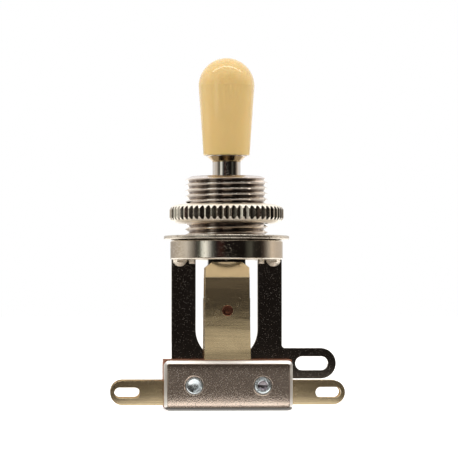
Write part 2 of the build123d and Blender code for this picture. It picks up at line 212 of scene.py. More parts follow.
def add_node(tree, kind, inputs=None, **settings):
    node = tree.nodes.new(kind)
    for key, value in settings.items():
        setattr(node, key, value)
    for key, value in (inputs or {}).items():
        if isinstance(value, bpy.types.NodeSocket):
            tree.links.new(value, node.inputs[key])
        else:
            node.inputs[key].default_value = value
    return node


def arithmetic(tree, operation, first, second=0.0, clamp=False):
    inputs = {0: first, 1: second}
    return add_node(tree, "ShaderNodeMath", inputs, operation=operation, use_clamp=clamp).outputs[0]


def remap(tree, value, low, high, to_low=0.0, to_high=1.0):
    inputs = {"Value": value, "From Min": low, "From Max": high, "To Min": to_low, "To Max": to_high}
    return add_node(tree, "ShaderNodeMapRange", inputs).outputs[0]


def blend_colours(tree, factor, first, second):
    return add_node(tree, "ShaderNodeMix", {0: factor, 6: first, 7: second}, data_type="RGBA").outputs[2]


def blend_values(tree, factor, first, second):
    return add_node(tree, "ShaderNodeMix", {0: factor, 2: first, 3: second}, data_type="FLOAT").outputs[0]


def stretched(tree, coordinates, scale, place=(0, 0, 0)):
    inputs = {"Vector": coordinates, "Location": place, "Scale": scale}
    return add_node(tree, "ShaderNodeMapping", inputs).outputs[0]


def noise(tree, coordinates, scale, detail=2.0, roughness=0.5, distortion=0.0):
    inputs = {
        "Vector": coordinates,
        "Scale": scale,
        "Detail": detail,
        "Roughness": roughness,
        "Distortion": distortion,
    }
    return add_node(tree, "ShaderNodeTexNoise", inputs).outputs[0]


def new_group(name, inputs, outputs):
    """An empty node group with its named sockets; inputs give a kind and a starting value."""
    tree = bpy.data.node_groups.new(name, "ShaderNodeTree")
    for label, (kind, value) in inputs.items():
        socket = tree.interface.new_socket(name=label, in_out="INPUT", socket_type="NodeSocket" + kind)
        socket.default_value = value
    for label, kind in outputs.items():
        tree.interface.new_socket(name=label, in_out="OUTPUT", socket_type="NodeSocket" + kind)
    start = tree.nodes.new("NodeGroupInput").outputs
    end = tree.nodes.new("NodeGroupOutput").inputs
    return tree, start, end


def place_group(tree, group, **inputs):
    node = tree.nodes.new("ShaderNodeGroup")
    node.node_tree = group
    for label, value in inputs.items():
        socket = node.inputs[label.replace("_", " ")]
        if isinstance(value, bpy.types.NodeSocket):
            tree.links.new(value, socket)
        else:
            socket.default_value = value
    return node.outputs


# Effects shared by the materials

def make_worn_edges():
    """Rounded-off edges: a normal eased over the edge, and a mask where the edge is."""
    tree, start, end = new_group(
        "worn edges",
        {"Radius": ("Float", 0.0001), "Patchiness": ("Float", 0.5)},
        {"Mask": "Float", "Normal": "Vector"},
    )
    eased = add_node(tree, "ShaderNodeBevel", {"Radius": start["Radius"]}, samples=6).outputs[0]
    geometry = tree.nodes.new("ShaderNodeNewGeometry").outputs
    both = {0: eased, 1: geometry["Normal"]}
    likeness = add_node(tree, "ShaderNodeVectorMath", both, operation="DOT_PRODUCT").outputs["Value"]
    edge = remap(tree, likeness, 0.995, 0.85)
    place = tree.nodes.new("ShaderNodeTexCoord").outputs["Object"]
    patches = remap(tree, noise(tree, place, 900.0, 3.0), 0.35, 0.65)
    kept = blend_values(tree, start["Patchiness"], 1.0, patches)
    tree.links.new(arithmetic(tree, "MULTIPLY", edge, kept), end["Mask"])
    tree.links.new(eased, end["Normal"])
    return tree


def make_pits():
    """Fine pits and specks in plating, of uneven size."""
    tree, start, end = new_group(
        "pits",
        {"Spacing": ("Float", 0.0004), "Size": ("Float", 0.2), "Share": ("Float", 0.4)},
        {"Mask": "Float", "Height": "Float"},
    )
    place = tree.nodes.new("ShaderNodeTexCoord").outputs["Object"]
    scale = arithmetic(tree, "DIVIDE", 1.0, start["Spacing"])
    cells = add_node(tree, "ShaderNodeTexVoronoi", {"Vector": place, "Scale": scale, "Randomness": 1.0})
    chance = add_node(tree, "ShaderNodeSeparateColor", {0: cells.outputs["Color"]}).outputs
    size = arithmetic(tree, "MULTIPLY", start["Size"], chance[1])
    inside = remap(tree, arithmetic(tree, "DIVIDE", cells.outputs["Distance"], size), 1.0, 0.4)
    picked = arithmetic(tree, "LESS_THAN", chance[0], start["Share"])
    mask = arithmetic(tree, "MULTIPLY", inside, picked)
    tree.links.new(mask, end["Mask"])
    tree.links.new(arithmetic(tree, "MULTIPLY", mask, -1.0), end["Height"])
    return tree


def make_grain():
    """Drawn or brushed lines; Stretch gives the lines' density along each axis."""
    tree, start, end = new_group(
        "grain",
        {"Stretch": ("Vector", (200.0, 200.0, 9000.0)), "Depth": ("Float", 1.0)},
        {"Tone": "Float", "Height": "Float"},
    )
    place = tree.nodes.new("ShaderNodeTexCoord").outputs["Object"]
    lines = stretched(tree, place, start["Stretch"])
    fine = noise(tree, lines, 1.0, 3.0, 0.6)
    broad = noise(tree, lines, 0.23, 2.0)
    both = blend_values(tree, 0.35, fine, broad)
    tree.links.new(remap(tree, both, 0.3, 0.7), end["Tone"])
    tree.links.new(arithmetic(tree, "MULTIPLY", both, start["Depth"]), end["Height"])
    return tree


def make_tarnish():
    """Soft clouds of tarnish and handling smears."""
    tree, start, end = new_group(
        "tarnish", {"Size": ("Float", 0.004), "Contrast": ("Float", 0.5)}, {"Mask": "Float"}
    )
    place = tree.nodes.new("ShaderNodeTexCoord").outputs["Object"]
    scale = arithmetic(tree, "DIVIDE", 1.0, start["Size"])
    clouds = noise(tree, place, scale, 5.0, 0.6, 0.4)
    full = arithmetic(tree, "MULTIPLY", start["Contrast"], 0.25)
    none = arithmetic(tree, "SUBTRACT", 1.0, full)
    tree.links.new(remap(tree, clouds, none, full), end["Mask"])
    return tree


def make_scratches():
    """Sparse hairline scratches that run in a few directions."""
    tree, start, end = new_group(
        "scratches",
        {"Length": ("Float", 0.003), "Share": ("Float", 0.5)},
        {"Mask": "Float", "Height": "Float"},
    )
    place = tree.nodes.new("ShaderNodeTexCoord").outputs["Object"]
    total = None
    for turn, shift in ((0.4, 0.0), (1.3, 3.1), (2.5, 7.7)):
        turned_place = add_node(
            tree, "ShaderNodeVectorRotate", {"Vector": place, "Angle": turn, "Axis": (0.05, 1.0, 0.1)}
        ).outputs[0]
        scale = arithmetic(tree, "DIVIDE", 1.0, start["Length"])
        fine = arithmetic(tree, "MULTIPLY", scale, 22.0)
        along = add_node(tree, "ShaderNodeCombineXYZ", {0: scale, 1: scale, 2: fine}).outputs[0]
        lines = stretched(tree, turned_place, along, (shift, shift, shift))
        value = noise(tree, lines, 1.0, 0.0)
        from_middle = arithmetic(tree, "ABSOLUTE", arithmetic(tree, "SUBTRACT", value, 0.5))
        line = remap(tree, from_middle, 0.012, 0.0)
        where = noise(tree, turned_place, 420.0 + 40.0 * shift, 1.0)
        line = arithmetic(tree, "MULTIPLY", line, arithmetic(tree, "LESS_THAN", where, start["Share"]))
        total = line if total is None else arithmetic(tree, "MAXIMUM", total, line)
    tree.links.new(total, end["Mask"])
    tree.links.new(arithmetic(tree, "MULTIPLY", total, -1.0), end["Height"])
    return tree


def make_band():
    """A belt between two heights, with soft edges."""
    tree, start, end = new_group("band", {"Low": ("Float", 0.0), "High": ("Float", 0.001)}, {"Mask": "Float"})
    place = tree.nodes.new("ShaderNodeTexCoord").outputs["Object"]
    height = add_node(tree, "ShaderNodeSeparateXYZ", {0: place}).outputs[2]
    soft = 0.04 * MM
    above = remap(tree, arithmetic(tree, "SUBTRACT", height, start["Low"]), -soft, soft)
    below = remap(tree, arithmetic(tree, "SUBTRACT", start["High"], height), -soft, soft)
    tree.links.new(arithmetic(tree, "MULTIPLY", above, below), end["Mask"])
    return tree


def make_slant():
    """Where the surface is turned up or down, such as a nut's shoulders; at 1 it lies flat."""
    tree, start, end = new_group(
        "slant", {"Least": ("Float", 0.25), "Most": ("Float", 1.2)}, {"Mask": "Float"}
    )
    normal = tree.nodes.new("ShaderNodeTexCoord").outputs["Normal"]
    lean = arithmetic(tree, "ABSOLUTE", add_node(tree, "ShaderNodeSeparateXYZ", {0: normal}).outputs[2])
    enough = remap(tree, arithmetic(tree, "SUBTRACT", lean, start["Least"]), 0.0, 0.12)
    not_flat = remap(tree, arithmetic(tree, "SUBTRACT", start["Most"], lean), 0.0, 0.04)
    tree.links.new(arithmetic(tree, "MULTIPLY", enough, not_flat), end["Mask"])
    return tree


def make_hollow_shade():
    """Painted shade in the hollows of a turned piece, in patches: full at the bottom radius, none from the
    top radius on.
    """
    tree, start, end = new_group(
        "hollow shade", {"Bottom": ("Float", 0.005), "Top": ("Float", 0.006)}, {"Mask": "Float"}
    )
    place = tree.nodes.new("ShaderNodeTexCoord").outputs["Object"]
    axes = add_node(tree, "ShaderNodeSeparateXYZ", {0: place}).outputs
    across = add_node(tree, "ShaderNodeCombineXYZ", {0: axes[0], 1: axes[1]}).outputs[0]
    radius = add_node(tree, "ShaderNodeVectorMath", {0: across}, operation="LENGTH").outputs["Value"]
    patches = remap(tree, noise(tree, place, 1400.0, 3.0), 0.3, 0.7, 0.6, 1.0)
    hollow = remap(tree, radius, start["Top"], start["Bottom"])
    tree.links.new(arithmetic(tree, "MULTIPLY", hollow, patches), end["Mask"])
    return tree


WORN_EDGES = make_worn_edges()
PITS = make_pits()
GRAIN = make_grain()
TARNISH = make_tarnish()
SCRATCHES = make_scratches()
BAND = make_band()
SLANT = make_slant()
HOLLOW_SHADE = make_hollow_shade()


# Materials

def new_material(name):
    material = bpy.data.materials.new(name)
    material.use_nodes = True
    MATERIALS[name] = material
    tree = material.node_tree
    return tree, tree.nodes["Principled BSDF"]


def set_sockets(shader, **values):
    for label, value in values.items():
        shader.inputs[label.replace("_", " ")].default_value = value


def feed(tree, shader, **sources):
    for label, source in sources.items():
        tree.links.new(source, shader.inputs[label.replace("_", " ")])


def add_bump(tree, height, normal, distance):
    inputs = {"Height": height, "Normal": normal, "Distance": distance, "Strength": 1.0}
    return add_node(tree, "ShaderNodeBump", inputs).outputs[0]


def plated_metal(
    name,
    bright,
    dull,
    gloss,
    pit_spacing=0.00035,
    pit_size=0.16,
    pit_share=0.35,
    stretch=(300.0, 300.0, 300.0),
    grain_depth=0.2,
    edge=0.00008,
    scratch_share=0.42,
    tarnish_size=0.004,
    pit_colour=None,
    pit_gloss=0.25,
    dust_share=0.0,
    ripple=0.0,
    grain_tone=0.0,
    metallic=1.0,
    dust_colour=(0.32, 0.30, 0.27),
):
    """Plated or bare metal. Gloss is the lowest and the highest roughness, and both go with how far the
    metal has turned from bright to dull. Ripple is an uneven surface, and dust is dull specks on it."""
    tree, shader = new_material(name)
    edges = place_group(tree, WORN_EDGES, Radius=edge, Patchiness=0.6)
    pits = place_group(tree, PITS, Spacing=pit_spacing, Size=pit_size, Share=pit_share)
    grain = place_group(tree, GRAIN, Stretch=stretch, Depth=grain_depth)
    tarnish = place_group(tree, TARNISH, Size=tarnish_size, Contrast=0.8)
    scratches = place_group(tree, SCRATCHES, Length=0.003, Share=scratch_share)
    metal = blend_colours(tree, tarnish["Mask"], (*bright, 1), (*dull, 1))
    if grain_tone:
        dark = tuple(0.55 * part for part in dull)
        lines = arithmetic(tree, "MULTIPLY", grain["Tone"], grain_tone)
        metal = blend_colours(tree, lines, metal, (*dark, 1))
    metal = blend_colours(tree, arithmetic(tree, "MULTIPLY", edges["Mask"], 0.6), metal, (*bright, 1))
    pit_tone = pit_colour or tuple(0.45 * part for part in dull)
    metal = blend_colours(tree, arithmetic(tree, "MULTIPLY", pits["Mask"], 0.8), metal, (*pit_tone, 1))
    rough = blend_values(tree, tarnish["Mask"], gloss[0], gloss[1])
    rough = arithmetic(tree, "ADD", rough, arithmetic(tree, "MULTIPLY", pits["Mask"], pit_gloss))
    rough = arithmetic(tree, "ADD", rough, arithmetic(tree, "MULTIPLY", scratches["Mask"], 0.12), clamp=True)
    height = arithmetic(tree, "ADD", pits["Height"], grain["Height"])
    height = arithmetic(tree, "ADD", height, arithmetic(tree, "MULTIPLY", scratches["Height"], 0.3))
    if ripple:
        ripples = place_group(tree, GRAIN, Stretch=(6000.0, 6000.0, 6000.0), Depth=ripple)
        height = arithmetic(tree, "ADD", height, ripples["Height"])
    normal = add_bump(tree, height, edges["Normal"], 0.000004)
    if dust_share:
        dust = place_group(tree, PITS, Spacing=0.00017, Size=0.44, Share=dust_share)
        metal = blend_colours(tree, dust["Mask"], metal, (*dust_colour, 1))
        rough = blend_values(tree, dust["Mask"], rough, 0.8)
        bare = arithmetic(tree, "SUBTRACT", 1.0, dust["Mask"])
        feed(tree, shader, Metallic=arithmetic(tree, "MULTIPLY", bare, metallic))
    else:
        set_sockets(shader, Metallic=metallic)
    feed(tree, shader, Base_Color=metal, Roughness=rough, Normal=normal)
    return tree, shader


def overlay(tree, shader, mask, colour, rough=None, metallic=1.0):
    """Another colour over a finished metal where the mask is; here it paints light and shade. Metallic below
    1 lets the overlay scatter the lamps' light as well, which makes painted highlights brighter."""
    under = shader.inputs["Base Color"].links[0].from_socket
    feed(tree, shader, Base_Color=blend_colours(tree, mask, under, (*colour, 1)))
    if rough is not None:
        shine = shader.inputs["Roughness"].links[0].from_socket
        feed(tree, shader, Roughness=blend_values(tree, mask, shine, rough))
    if metallic < 1:
        feed(tree, shader, Metallic=blend_values(tree, mask, 1.0, metallic))


def overlay_band(tree, shader, low, high, colour, rough, strength=1.0, metallic=1.0):
    """An overlay between two heights, in millimetres."""
    belt = place_group(tree, BAND, Low=low * MM, High=high * MM)
    overlay(tree, shader, arithmetic(tree, "MULTIPLY", belt["Mask"], strength), colour, rough, metallic)


def overlay_hollow_shade(tree, shader, bottom, top, high, colour):
    """Painted shade from the seat up to a height, between two radii, in millimetres."""
    hollow = place_group(tree, HOLLOW_SHADE, Bottom=bottom * MM, Top=top * MM)
    belt = place_group(tree, BAND, Low=0.0, High=high * MM)
    overlay(tree, shader, arithmetic(tree, "MULTIPLY", hollow["Mask"], belt["Mask"]), colour)


def make_cream_plastic():
    tree, shader = new_material("cream plastic")
    clouds = place_group(tree, TARNISH, Size=0.009, Contrast=0.6)
    specks = place_group(tree, PITS, Spacing=0.0011, Size=0.05, Share=0.16)
    hairlines = place_group(tree, SCRATCHES, Length=0.005, Share=0.4)
    edges = place_group(tree, WORN_EDGES, Radius=0.00012, Patchiness=0.3)
    colour = blend_colours(tree, clouds["Mask"], (0.80, 0.565, 0.242, 1), (0.77, 0.535, 0.214, 1))
    faint = arithmetic(tree, "MULTIPLY", specks["Mask"], 0.5)
    colour = blend_colours(tree, faint, colour, (0.50, 0.33, 0.14, 1))
    rough = blend_values(tree, clouds["Mask"], 0.16, 0.22)
    rough = arithmetic(tree, "ADD", rough, arithmetic(tree, "MULTIPLY", hairlines["Mask"], 0.12))
    normal = add_bump(tree, hairlines["Height"], edges["Normal"], 0.000003)
    set_sockets(
        shader,
        IOR=1.5,
        Specular_IOR_Level=0.05,
        Subsurface_Weight=0.25,
        Subsurface_Radius=(1.0, 0.6, 0.25),
        Subsurface_Scale=0.0012,
        Coat_Weight=0.75,
        Coat_Roughness=0.035,
    )
    feed(tree, shader, Base_Color=colour, Roughness=rough, Normal=normal)


def make_fibre():
    """Red-brown vulcanised fibre, its plies and loose fibres showing on the cut edges."""
    tree, shader = new_material("red-brown fibre")
    plies = place_group(tree, GRAIN, Stretch=(500.0, 14000.0, 500.0), Depth=1.0)
    clouds = place_group(tree, TARNISH, Size=0.0012, Contrast=0.9)
    edges = place_group(tree, WORN_EDGES, Radius=0.00008, Patchiness=0.9)
    colour = blend_colours(tree, plies["Tone"], (0.32, 0.11, 0.05, 1), (0.46, 0.19, 0.09, 1))
    stain = arithmetic(tree, "MULTIPLY", clouds["Mask"], 0.4)
    colour = blend_colours(tree, stain, colour, (0.115, 0.034, 0.02, 1))
    wear = arithmetic(tree, "MULTIPLY", edges["Mask"], 0.5)
    colour = blend_colours(tree, wear, colour, (0.36, 0.13, 0.07, 1))
    rough = blend_values(tree, plies["Tone"], 0.5, 0.68)
    normal = add_bump(tree, plies["Height"], edges["Normal"], 0.00002)
    feed(tree, shader, Base_Color=colour, Roughness=rough, Normal=normal)


def make_black_moulding():
    tree, shader = new_material("black moulding")
    clouds = place_group(tree, TARNISH, Size=0.0015, Contrast=0.8)
    edges = place_group(tree, WORN_EDGES, Radius=0.00012, Patchiness=0.7)
    rub = place_group(tree, GRAIN, Stretch=(400.0, 400.0, 6000.0), Depth=0.6)
    colour = blend_colours(tree, clouds["Mask"], (0.010, 0.009, 0.009, 1), (0.022, 0.020, 0.018, 1))
    wear = arithmetic(tree, "MULTIPLY", edges["Mask"], 0.6)
    colour = blend_colours(tree, wear, colour, (0.06, 0.056, 0.05, 1))
    rough = blend_values(tree, clouds["Mask"], 0.32, 0.5)
    normal = add_bump(tree, rub["Height"], edges["Normal"], 0.000006)
    feed(tree, shader, Base_Color=colour, Roughness=rough, Normal=normal)


def make_sleeve_tube():
    tree, shader = new_material("milky tube")
    clouds = place_group(tree, TARNISH, Size=0.001, Contrast=0.7)
    edges = place_group(tree, WORN_EDGES, Radius=0.00008, Patchiness=0.4)
    colour = blend_colours(tree, clouds["Mask"], (0.62, 0.60, 0.54, 1), (0.52, 0.49, 0.42, 1))
    rough = blend_values(tree, clouds["Mask"], 0.3, 0.42)
    set_sockets(shader, IOR=1.46, Subsurface_Weight=0.4, Subsurface_Scale=0.0005)
    feed(tree, shader, Base_Color=colour, Roughness=rough, Normal=edges["Normal"])


make_cream_plastic()
make_fibre()
make_black_moulding()
make_sleeve_tube()

# The metals; heights and radii are in millimetres
tree, shader = plated_metal(
    "nickel silver leaf",
    bright=(0.82, 0.66, 0.415),
    dull=(0.76, 0.605, 0.37),
    gloss=(0.18, 0.23),
    pit_size=0.10,
    pit_share=0.2,
    stretch=(130.0, 2500.0, 4600.0),
    grain_depth=1.2,
    edge=0.00006,
    scratch_share=0.30,
    tarnish_size=0.003,
    grain_tone=0.34,
)
# Painted highlight: the leaf's hook, above the bend, is a brighter and rougher cream.
overlay_band(tree, shader, low=-5.35, high=0.0, colour=(1.0, 0.84, 0.57), rough=0.36)
tree, shader = plated_metal(
    "nickel plate, turned",
    bright=(0.66, 0.60, 0.52),
    dull=(0.56, 0.50, 0.42),
    gloss=(0.04, 0.08),
    pit_spacing=0.00026,
    pit_size=0.42,
    pit_share=0.7,
    pit_gloss=0.15,
    pit_colour=(0.54, 0.48, 0.41),
    stretch=(60.0, 60.0, 14000.0),
    grain_depth=0.25,
    edge=0.00012,
    ripple=1.5,
)
# Painted highlight: the stake lips and the flange's bottom edge are a pale cream, less metallic, so they look
# lit.
stake_lips = {"low": -4.5, "high": -2.66}
overlay_band(tree, shader, **stake_lips, colour=(0.94, 0.86, 0.74), rough=0.40, strength=0.9, metallic=0.45)
tree, shader = plated_metal(
    "nickel plate, threaded",
    bright=(0.80, 0.74, 0.68),
    dull=(0.66, 0.60, 0.54),
    gloss=(0.06, 0.12),
    stretch=(900.0, 900.0, 5000.0),
    grain_depth=0.15,
    edge=0.00004,
)
# Painted shade: the thread's roots are darkened in patches.
overlay_hollow_shade(tree, shader, bottom=5.38, top=5.72, high=8.7, colour=(0.13, 0.085, 0.065))
overlay_band(tree, shader, low=8.80, high=9.40, colour=(0.84, 0.75, 0.70), rough=0.24)
plated_metal(
    "nickel plate, stamped",
    bright=(0.62, 0.56, 0.50),
    dull=(0.50, 0.44, 0.39),
    gloss=(0.06, 0.11),
    pit_spacing=0.00022,
    pit_size=0.20,
    pit_share=0.42,
    pit_gloss=0.35,
    stretch=(3500.0, 3500.0, 3500.0),
    grain_depth=0.35,
    scratch_share=0.18,
    edge=0.00006,
    pit_colour=(0.64, 0.60, 0.54),
    dust_share=0.45,
    dust_colour=(0.14, 0.13, 0.115),
    ripple=0.5,
)
tree, shader = plated_metal(
    "nickel plate, knurled",
    bright=(0.80, 0.73, 0.63),
    dull=(0.66, 0.59, 0.49),
    gloss=(0.10, 0.20),
    stretch=(3000.0, 3000.0, 600.0),
    grain_depth=0.15,
    edge=0.00004,
)
# Painted shade: the knurl's valleys are darkened in patches.
overlay_hollow_shade(tree, shader, bottom=7.97, top=8.22, high=8.0, colour=(0.10, 0.075, 0.06))
# Painted highlight: the nut's sloping shoulders and flat faces turn bright cream, the shoulders also less
# metallic so the lamps light them.
overlay(tree, shader, place_group(tree, SLANT)["Mask"], (1.0, 0.92, 0.80), 0.30)
shoulders = place_group(tree, SLANT, Most=0.92)["Mask"]
overlay(tree, shader, shoulders, (1.0, 0.91, 0.78), 0.28, metallic=0.4)
plated_metal(
    "nickel plate, washer",
    bright=(0.66, 0.60, 0.52),
    dull=(0.54, 0.48, 0.40),
    gloss=(0.16, 0.28),
    stretch=(2500.0, 2500.0, 2500.0),
    grain_depth=0.35,
    edge=0.0001,
    pit_spacing=0.00030,
    pit_size=0.6,
    pit_share=0.6,
    pit_colour=(0.16, 0.13, 0.10),
    ripple=12.0,
)
tree, shader = plated_metal(
    "chromed lever",
    bright=(0.64, 0.59, 0.54),
    dull=(0.54, 0.49, 0.44),
    gloss=(0.04, 0.09),
    pit_size=0.08,
    pit_share=0.15,
    stretch=(40.0, 40.0, 16000.0),
    grain_depth=0.12,
    edge=0.0001,
)
# Painted shade: a dark brown band on the lever's collar and cone, just under the tip.
overlay_band(tree, shader, low=11.35, high=12.15, colour=(0.46, 0.34, 0.19), rough=0.22)
tree, shader = plated_metal(
    "tumbled clamp plate",
    bright=(0.72, 0.60, 0.51),
    dull=(0.60, 0.49, 0.41),
    gloss=(0.11, 0.15),
    pit_spacing=0.00030,
    pit_size=0.42,
    pit_share=0.5,
    pit_gloss=0.12,
    stretch=(3000.0, 3000.0, 3000.0),
    grain_depth=0.8,
    edge=0.00007,
    scratch_share=0.12,
    tarnish_size=0.003,
    ripple=3.9,
    dust_share=0.45,
    dust_colour=(0.33, 0.285, 0.25),
    metallic=0.90,
)
plate_foot, plate_top = (corner.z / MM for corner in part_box("clamp_plate_front"))
# Painted shade: the face darkens in steps towards its top border.
for reach, strength in ((0.85, 0.55), (1.1, 0.34), (1.5, 0.2)):
    overlay_band(tree, shader, plate_top - reach, plate_top, (0.20, 0.14, 0.10), 0.10, strength)
# Painted highlight: the rolled border is a lighter, rougher copy of the plate's finish.
tree, shader = plated_metal(
    "tumbled clamp plate, painted light border",
    bright=(0.84, 0.81, 0.77),
    dull=(0.74, 0.71, 0.67),
    gloss=(0.30, 0.40),
    stretch=(3000.0, 3000.0, 3000.0),
    grain_depth=0.8,
    edge=0.00007,
)
# Painted shade: the border's foot is darkened to grey.
overlay_band(tree, shader, plate_foot - 0.2, plate_foot + 0.40, (0.27, 0.26, 0.245), 0.30)
# Painted shade: a dark material for the cup in the right screw's end.
plated_metal(
    "screw cup, painted shade",
    bright=(0.34, 0.32, 0.34),
    dull=(0.10, 0.075, 0.09),
    gloss=(0.12, 0.22),
    edge=0.00003,
    tarnish_size=0.0005,
)
plated_metal(
    "zinc plated screw",
    bright=(0.82, 0.88, 0.90),
    dull=(0.58, 0.64, 0.68),
    gloss=(0.18, 0.34),
    pit_spacing=0.0002,
    pit_size=0.3,
    stretch=(4000.0, 4000.0, 4000.0),
    grain_depth=1.0,
    edge=0.00006,
    scratch_share=0.55,
    tarnish_size=0.0015,
)
plated_metal(
    "copper rivet",
    bright=(0.42, 0.17, 0.10),
    dull=(0.22, 0.085, 0.055),
    gloss=(0.16, 0.28),
    pit_spacing=0.00015,
    pit_size=0.3,
    stretch=(4000.0, 4000.0, 4000.0),
    grain_depth=0.8,
    edge=0.00008,
    tarnish_size=0.001,
)
plated_metal(
    "bright pin steel",
    bright=(0.56, 0.55, 0.53),
    dull=(0.44, 0.43, 0.41),
    gloss=(0.16, 0.26),
    stretch=(12000.0, 600.0, 600.0),
    grain_depth=0.4,
)

FINISHES = {
    "cream plastic": ("switch_tip",),
    "chromed lever": ("lever",),
    "nickel plate, knurled": ("knurled_nut",),
    "nickel plate, washer": ("flat_washer",),
    "nickel plate, turned": ("bushing_housing",),
    "nickel plate, stamped": ("frame",),
    "nickel silver leaf": ("outer_leaf_front", "outer_leaf_rear", "inner_leaf_front", "inner_leaf_rear"),
    "copper rivet": (
        "outer_contact_front",
        "outer_contact_rear",
        "inner_contact_front",
        "inner_contact_rear",
    ),
    "tumbled clamp plate": ("clamp_plate_front", "clamp_plate_rear"),
    "zinc plated screw": ("clamp_screw_left", "clamp_screw_right"),
    "black moulding": ("actuator_cam",),
    "red-brown fibre": (
        "cover_insulator_front",
        "cover_insulator_rear",
        "gap_insulator_front",
        "gap_insulator_rear",
        "frame_insulator_front",
        "frame_insulator_rear",
    ),
    "bright pin steel": ("pivot_pin",),
    "milky tube": ("insulating_sleeve_left", "insulating_sleeve_right"),
}


def finish_with(piece, finish):
    piece.data.materials.clear()
    piece.data.materials.append(MATERIALS[finish])


for finish, finished_nodes in FINISHES.items():
    for node in finished_nodes:
        for slot in nodes[node].material_slots:
            slot.material = MATERIALS[finish]


# The bushing: the CAD housing with its neck turned down, and the thread cut on it

THREAD_R = 5.95
THREAD_DEPTH = 0.54
THREAD_PITCH = 0.794
THREAD_CREST = 0.09
THREAD_ROOT = 0.05
THREAD_PHASE = 0.439
NECK_TOP = 9.28
NECK_CHAMFER_IN = 0.8
NECK_CHAMFER_DOWN = 0.45
CORE_GAP = 0.1


def make_bushing():
    """The CAD housing, its ribs drawn in to a core a little thinner than the thread's root."""
    bushing = copy_of_node("turned_bushing", "bushing_housing")
    edit(bushing)
    root = THREAD_R - THREAD_DEPTH
    for radius, low, high in ((THREAD_R, -0.01, NECK_TOP - 0.1), (root, 0.1, NECK_TOP - 0.5)):
        pick_vertices(bushing, lambda co: low < co.z < high and abs(math.hypot(co.x, co.y) - radius) < 0.05)
        shrink = (root - CORE_GAP) / radius
        bpy.ops.transform.resize(value=(shrink, shrink, 1), center_override=(0, 0, 0))
    leave_edit()
    smooth(bushing, 25)
    finish_with(bushing, "nickel plate, turned")
    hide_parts("bushing_housing")
    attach(bushing, "switch_frame")


def make_thread():
    """One pitch of the thread's outline, screwed up the neck and then cut to the neck's outline."""
    root = THREAD_R - THREAD_DEPTH
    crest = THREAD_R + 0.01
    middle = THREAD_PHASE - 2 * THREAD_PITCH
    outline = [
        (root, middle - THREAD_PITCH / 2),
        (root, middle - (THREAD_PITCH - THREAD_ROOT) / 2),
        (crest, middle - THREAD_CREST / 2),
        (crest, middle + THREAD_CREST / 2),
        (root, middle + (THREAD_PITCH - THREAD_ROOT) / 2),
        (root, middle + THREAD_PITCH / 2),
    ]
    points = [Vector((radius, 0, height)) for radius, height in outline]
    thread = draw_outline("neck_thread", points)
    leave_edit()
    screw = thread.modifiers.new("helix", "SCREW")
    screw.axis = "Z"
    screw.angle = 2 * math.pi
    screw.screw_offset = THREAD_PITCH * MM
    screw.iterations = 16
    screw.steps = 96
    screw.render_steps = 96
    screw.use_merge_vertices = True
    screw.merge_threshold = TOLERANCE
    apply_modifier(thread, screw)
    edit(thread)
    bpy.ops.mesh.select_all(action="SELECT")
    bpy.ops.mesh.remove_doubles(threshold=TOLERANCE)
    cut_across(NECK_TOP + 0.4, use_fill=True, clear_outer=True)
    cut_across(-0.4, use_fill=True, clear_inner=True)
    bpy.ops.mesh.select_all(action="SELECT")
    bpy.ops.mesh.normals_make_consistent(inside=False)
    leave_edit()
    inside = root - 0.35
    outside = THREAD_R + 0.005
    envelope = [
        (inside, 0.0),
        (outside, 0.0),
        (outside, NECK_TOP - NECK_CHAMFER_DOWN),
        (THREAD_R - NECK_CHAMFER_IN, NECK_TOP),
        (inside, NECK_TOP),
        (inside, 0.0),
    ]
    cut_with(thread, turned("neck_envelope", envelope, steps=192), "INTERSECT")
    smooth(thread, 30)
    finish_with(thread, "nickel plate, threaded")
    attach(thread, "switch_frame")


# The contact leaves that the cam pushes: they bend, so they are cut across many times

LEAF_CUTS_LOW = -16.8
LEAF_CUTS_HIGH = -3.2
LEAF_CUTS_APART = 0.4


def make_outer_leaf(name, node):
    leaf = copy_of_node(name, node)
    edit(leaf)
    height = LEAF_CUTS_LOW
    while height < LEAF_CUTS_HIGH:
        cut_across(height)
        height += LEAF_CUTS_APART
    leave_edit()
    smooth(leaf, 25)
    finish_with(leaf, "nickel silver leaf")
    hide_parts(node)
    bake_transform(leaf)


# Clamp plates: corners rounded, edges rolled over to a crisp face, which falls away at its foot

PLATE_CORNER = 0.7
PLATE_STEPS = ((0.42, 0.42), (0.12, 0.08), (0.05, 0.015))
PLATE_RIM = sum(inset for inset, depth in PLATE_STEPS)
PLATE_ROLL = sum(depth for inset, depth in PLATE_STEPS)
PLATE_FALL = 0.74
PLATE_FALL_SLOPE = 0.082
PLATE_FALL_POWER = 2.2
PLATE_BOW = 0.015
FALL_CUTS = 6
BOW_CUTS = 9
PLATE_BORDER = 0.42
SCREW_X = 4.88
SCREW_R = 1.25
HOLE_GAP = 0.02
HOLE_CHAMFER = 0.16


def round_corners(plate):
    """Rounds the four edges that run through the plate."""
    edit(plate)
    bpy.ops.mesh.select_mode(type="EDGE")
    bpy.ops.mesh.select_all(action="DESELECT")
    leave_edit()
    for edge in plate.data.edges:
        first, second = (plate.data.vertices[i].co for i in edge.vertices)
        edge.select = abs(first.y - second.y) > 0.5 * MM
    bpy.ops.object.mode_set(mode="EDIT")
    bpy.ops.mesh.bevel(offset=PLATE_CORNER * MM, segments=6, affect="EDGES")


def roll_edges(plate, side):
    """Brings the outer face out in insets, so that the plate's edge rolls over to it."""
    bpy.ops.mesh.select_mode(type="FACE")
    bpy.ops.mesh.select_all(action="DESELECT")
    leave_edit()
    for face in plate.data.polygons:
        face.select = face.normal.y * side > 0.99
    bpy.ops.object.mode_set(mode="EDIT")
    for inset, depth in PLATE_STEPS:
        bpy.ops.mesh.inset(thickness=inset * MM, depth=depth * MM)


